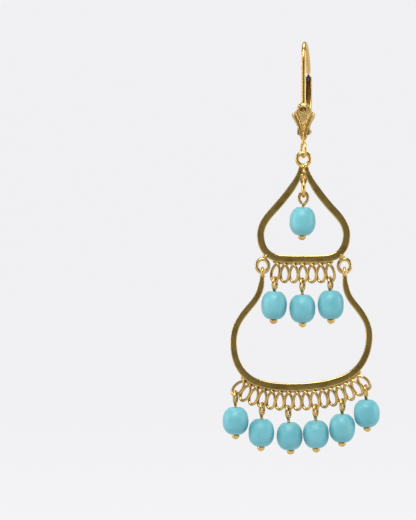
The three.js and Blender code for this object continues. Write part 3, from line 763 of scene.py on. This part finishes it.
def shell(shape):
    """A cast shell: ribs and a lined leaf on a thin plate, with a small hood over a hollow at its top that
    carries painted shade.
    """
    front = EAR_WIRE["front"] - SHELL["thick"] / 2
    back = EAR_WIRE["front"] + SHELL["thick"] / 2
    rows, columns = 90, 44

    def ridge(off, width):
        return math.exp(-((off / width) ** 2))

    def relief(u, z):
        half = shell_half_width(z)
        across = abs(u) * half
        if z > HOLLOW["top"]:
            return 0.0
        if z > HOLLOW["bottom"]:
            return -HOLLOW["deep"] if across < HOLLOW["half_width"] else 0.0
        leaf_half = LEAF["spread"] * max(z - LEAF["point"], 0.0)
        rib = RIB["tall"] * ridge(abs(u) - RIB["at"], RIB["wide"])
        leaf = LEAF["tall"] * ridge(across - leaf_half, LEAF["wide"])
        lines = 0.5 + 0.5 * math.sin((u * half + LEAF["line_slope"] * z) * 2 * math.pi / LEAF["line_pitch"])
        return rib + leaf + (LEAF["line_tall"] * lines if across < leaf_half else 0.0)

    points, faces = [], []
    for i in range(rows + 1):
        z = SHELL["top"] + (SHELL["bottom"] - SHELL["top"]) * i / rows
        half = shell_half_width(z)
        for k in range(columns + 1):
            u = -1 + 2 * k / columns
            edge = 1 - u * u
            roll = 0.22 * (1 - math.sqrt(max(edge, 0.0))) ** 1.4
            points.append(Vector((u * half, front + roll * 1.2 - relief(u, z) * min(1, edge * 4) + 0.1, z)))
    for i in range(rows):
        for k in range(columns):
            a = i * (columns + 1) + k
            faces.append([a, a + columns + 1, a + columns + 2, a + 1])
    count = len(points)
    points += [Vector((p.x, back, p.z)) for p in points]
    faces += [[i + count for i in face[::-1]] for face in faces]
    rim = [k for k in range(columns + 1)]
    rim += [i * (columns + 1) + columns for i in range(1, rows + 1)]
    rim += [rows * (columns + 1) + k for k in range(columns - 1, -1, -1)]
    rim += [i * (columns + 1) for i in range(rows - 1, 0, -1)]
    faces += [[a, b, b + count, a + count] for a, b in zip(rim, rim[1:] + rim[:1])]
    start = len(shape.faces)
    shape.add(points, faces, CAST)
    # The faces inside the hollow get the painted shade.
    for i, face in enumerate(faces[:rows * columns]):
        middle = sum((points[k] for k in face), Vector()) / len(face)
        if abs(middle.x) < HOLLOW["half_width"] and HOLLOW["bottom"] < middle.z < HOLLOW["top"]:
            shape.finish[start + i] = PAINTED_SHADE_FINISH
    # A round-topped lip that shelters a small hollow, and knobs at the ends of the ribs.
    lip = [Vector((0.66 * math.cos(a), front - 0.05, -10.15 + 0.5 * math.sin(a)))
           for a in (math.radians(d) for d in range(-20, 201, 10))]
    tube(shape, even(lip, 30), 0.17, 12, finish=CAST)
    hood = Vector((0, EAR_WIRE["front"] - 0.1, -9.55))
    ball(shape, hood, 0.95, (0.95, 0.5, 0.42), 0.04, 3.0, 14, 24, finish=CAST)
    ball(shape, Vector((0.05, front + 0.22, -10.28)), 0.16, (1, 0.8, 1), 0.0, 2.0, 8, 12, finish=CAST)
    for side in (-1, 1):
        for x, z, size in ((1.56, -11.02, 0.3), (1.08, -10.62, 0.26), (0.62, -10.45, 0.2)):
            knob = Vector((side * x, front + 0.12, z))
            ball(shape, knob, size, (1, 0.8, 1), 0.1, x + side, 8, 12, finish=CAST)
    ball(shape, Vector((0.02, front - 0.02, -12.45)), 0.17, (1, 0.8, 1.2), 0.0, 1.0, 8, 12, finish=CAST)


def ear_hook():
    shape = Shape()
    arch = smooth([side_point(y, z) for y, z in ARCH], 10)
    leg = [side_point(EAR_WIRE["front"] + 0.1, EAR_WIRE["foot"]).lerp(arch[0], k / 10) for k in range(10)]
    back = EAR_WIRE["back"]
    tip_top, tip_end = EAR_WIRE["tip_top"], EAR_WIRE["tip_end"]
    tip = [side_point(back - 0.02, tip_top - 0.3), side_point(back - 0.08, tip_top - 0.6)]
    wire_line = even(leg + arch + tip, 130)

    def wire_radius(share):
        return EAR_WIRE["radius"] * (1 - 0.42 * max(0.0, share - 0.955) / 0.045)

    tube(shape, wire_line, wire_radius, 20)
    # The wire's end sits in the lever's notch, painted near-black as the dark reflection seen there.
    end = even([side_point(back - 0.06, tip_top - 0.4), side_point(back - 0.14, tip_top - 0.9),
                side_point(back - 0.3, tip_end + 0.1)], 12)
    tube(shape, end, lambda share: 0.24 - 0.07 * share, 14, finish=TIP)
    shell(shape)
    reach = HINGE["y"] + 0.5 - EAR_WIRE["front"]
    for side in (-1, 1):
        x = side * (HINGE["ear_inner"] + HINGE["ear_outer"]) / 2
        thick = HINGE["ear_outer"] - HINGE["ear_inner"]
        line = [Vector((x, EAR_WIRE["front"] + reach * k / 6, HINGE["z"])) for k in range(7)]
        strip(shape, line, lambda share: 1.12 - 0.25 * share**3, thick, X, 0.1)
    neck = [Vector((0, EAR_WIRE["front"], z)) for z in (-14.5, -14.9, -15.2, -15.45)]
    tube(shape, smooth(neck, 5), lambda share: 0.36 - 0.1 * share, 14)
    loop = []
    tall = (HANG_LOOP["top"] - HANG_LOOP["bottom"]) / 2
    for k in range(49):
        a = math.radians(90 + HANG_LOOP["open"] * 0.75 + (360 - HANG_LOOP["open"]) * k / 48)
        loop.append(Vector((0, HANG_LOOP["half_width"] * math.cos(a), tall * math.sin(a))))
    middle = Vector((0, EAR_WIRE["front"], (HANG_LOOP["top"] + HANG_LOOP["bottom"]) / 2))
    place = Matrix.Translation(middle) @ Matrix.Rotation(HANG_LOOP["twist"] - HOOK_YAW, 4, "Z")
    tube(shape, loop, HANG_LOOP["wire"] - RING_EASE, 14, place=place)
    return shape


def lever():
    """A bent channel, open towards the ear: a solid foot on the hinge, then two cheeks and a floor, with
    painted shade on the channel's lining.
    """
    shape = Shape()
    corners = [side_point(y, z) for y, z in LEVER_LINE]
    line = even([bezier(corners, k / 80) for k in range(81)], 60)
    width, thick, slot, floor = (LEVER[key] for key in ("width", "thick", "slot", "floor"))
    heading = directions(line)
    rings = []
    for i, (point, ahead) in enumerate(zip(line, heading)):
        share = i / 60
        outward = ahead.cross(X)
        deep = min(max((share - 0.27) / 0.06, 0), 1)
        half, t = (width / 2 if share > 0.15 else LEVER["foot_width"] / 2), thick / 2
        taper = 1 - 0.25 * max(0.0, share - 0.93) / 0.07
        inner = -t + (thick - floor) * deep
        s, mouth = slot / 2, -t * taper
        section = [(-half + 0.1, t), (half - 0.1, t), (half, t - 0.1), (half, mouth + 0.06),
                   (half - 0.06, mouth), (s + 0.02, mouth), (s, mouth + 0.04), (s, inner), (-s, inner),
                   (-s, mouth + 0.04), (-s - 0.02, mouth), (-half + 0.06, mouth), (-half, mouth + 0.06),
                   (-half, t - 0.1)]
        rings.append([point + X * a + outward * b for a, b in section])
    shape.add(*skin(rings))
    # The channel's lining gets the painted shade.
    inner_sides = (6, 7, 8)  # the section's sides that line the channel
    for i in range(len(rings) - 1):
        for k in inner_sides:
            shape.finish[i * len(section) + k] = SHADED_CHANNEL
    foot = [Vector((x, HINGE["y"], HINGE["z"])) for x in (-0.48, -0.3, 0, 0.3, 0.48)]
    tube(shape, foot, LEVER["foot"], 28, round_ends=False)
    return shape


def hinge_pin():
    shape = Shape()
    half = HINGE["pin_length"] / 2
    line = [Vector((x, HINGE["y"], HINGE["z"])) for x in (-half + 0.08, -0.5, 0, 0.5, half - 0.08)]
    tube(shape, line, HINGE["pin"], 16)
    return shape


# ---- Assembly -----------------------------------------------------------------------------------

UPPER_COIL = Gallery(UPPER_GALLERY, UPPER_OUTLINE, straight)
LOWER_COIL = Gallery(LOWER_GALLERY, LOWER_OUTLINE, lopsided)

ear_hook().piece("lever_back_hook", "hook", "ear_hook", HOOK_FINISHES, HOOK_TURN)
hinge_pin().piece("hinge_rivet", "hook", "hinge_pin", [WIRE_GOLD], HOOK_TURN)
lever().piece("snap_lever", "lever", "lever", LEVER_FINISHES, HOOK_TURN)
upper_frame().piece("onion_frame", "upper_drop", "upper_frame", FRAME_FINISHES, FRAMES_MOVE)
lower_frame().piece("bell_frame", "lower_drop", "lower_frame", FRAME_FINISHES, FRAMES_MOVE)

bail_foot = (Vector((0, 0, BAIL["z"] - BAIL["tall"])), BAIL["wire"], math.pi / 2)
hang_drop("top", "upper_drop", TOP_DROP, bail_foot, 1.0)
for number, drop in enumerate(UPPER_DROPS, 1):
    hang_drop(f"upper_{number}", "upper_drop", drop, UPPER_COIL.foot(drop), 2.0 + number)
for number, drop in enumerate(LOWER_DROPS, 1):
    hang_drop(f"lower_{number}", "lower_drop", drop, LOWER_COIL.foot(drop), 6.0 + number)

# ---- Camera, light and floor --------------------------------------------------------------------

scene = bpy.context.scene
scene.view_settings.view_transform = "Standard"

VIEW_HEIGHT = 81.64  # how much of the upright the view takes in at the frames
LENS, SENSOR = 200, 36
VIEW_CENTRE = Vector((-15.28, 0, -33.79))

camera = bpy.data.objects.new("camera", bpy.data.cameras.new("camera"))
scene.collection.objects.link(camera)
camera.data.lens, camera.data.sensor_width = LENS, SENSOR
camera.data.clip_start, camera.data.clip_end = 0.01, 10
camera.location = Vector((VIEW_CENTRE.x, FRAMES_AT.y - VIEW_HEIGHT * LENS / SENSOR, VIEW_CENTRE.z)) * MM
camera.rotation_euler = (math.radians(90), 0, 0)
scene.camera = camera


def panel(name, place, aim, width, height, power):
    lamp = bpy.data.lights.new(name, "AREA")
    lamp.shape, lamp.size, lamp.size_y = "RECTANGLE", width, height
    lamp.energy = power
    holder = bpy.data.objects.new(name, lamp)
    scene.collection.objects.link(holder)
    holder.location = place
    holder.rotation_euler = (Vector(aim) - Vector(place)).to_track_quat("-Z", "Y").to_euler()


AIM = (0, 0, -0.035)
panel("key_softbox", (-0.06, -0.32, 0.3), AIM, 0.3, 0.24, 1.75)
panel("left_softbox", (-0.42, -0.04, 0.0), AIM, 0.2, 0.42, 0.95)
panel("right_softbox", (0.42, -0.04, 0.0), AIM, 0.2, 0.42, 0.95)
panel("top_softbox", (0.0, 0.02, 0.4), AIM, 0.36, 0.26, 1.0)
panel("low_fill", (0.0, -0.3, -0.3), AIM, 0.3, 0.14, 0.13)

world = bpy.data.worlds.new("studio")
scene.world = world
world.use_nodes = True
w = Wiring(world.node_tree)
backing = world.node_tree.nodes["Background"]
seen = w.node("ShaderNodeLightPath").outputs["Is Camera Ray"]
w.put(backing.inputs["Color"], w.blend(seen, (0.13, 0.125, 0.12, 1), (0.885, 0.885, 0.9, 1)))
backing.inputs["Strength"].default_value = 1.0


def sweep_floor():
    """A pale floor that curves up into a far wall."""
    low, far, wall = -0.085, 0.95, 1.4
    profile = [(-1.6, low), (far - 0.3, low)]
    profile += [(far - 0.3 + 0.3 * math.sin(a), low + 0.3 * (1 - math.cos(a)))
                for a in (math.radians(d) for d in range(10, 91, 10))]
    profile.append((far, wall))
    points = [Vector((x, y, z)) for y, z in profile for x in (-2.2, 2.2)]
    faces = [[2 * i, 2 * i + 1, 2 * i + 3, 2 * i + 2] for i in range(len(profile) - 1)]
    mesh = bpy.data.meshes.new("floor")
    mesh.from_pydata(points, [], faces)
    mesh.polygons.foreach_set("use_smooth", [True] * len(faces))
    floor = bpy.data.objects.new("floor", mesh)
    scene.collection.objects.link(floor)
    material, w, shader = new_material("pale_paper", (0.88, 0.88, 0.9))
    shader.inputs["Base Color"].default_value = (0.04, 0.04, 0.041, 1)
    shader.inputs["Roughness"].default_value = 1.0
    shader.inputs["Specular IOR Level"].default_value = 0.0
    shader.inputs["Emission Color"].default_value = (0.86, 0.86, 0.875, 1)
    shader.inputs["Emission Strength"].default_value = 0.995
    mesh.materials.append(material)


sweep_floor()
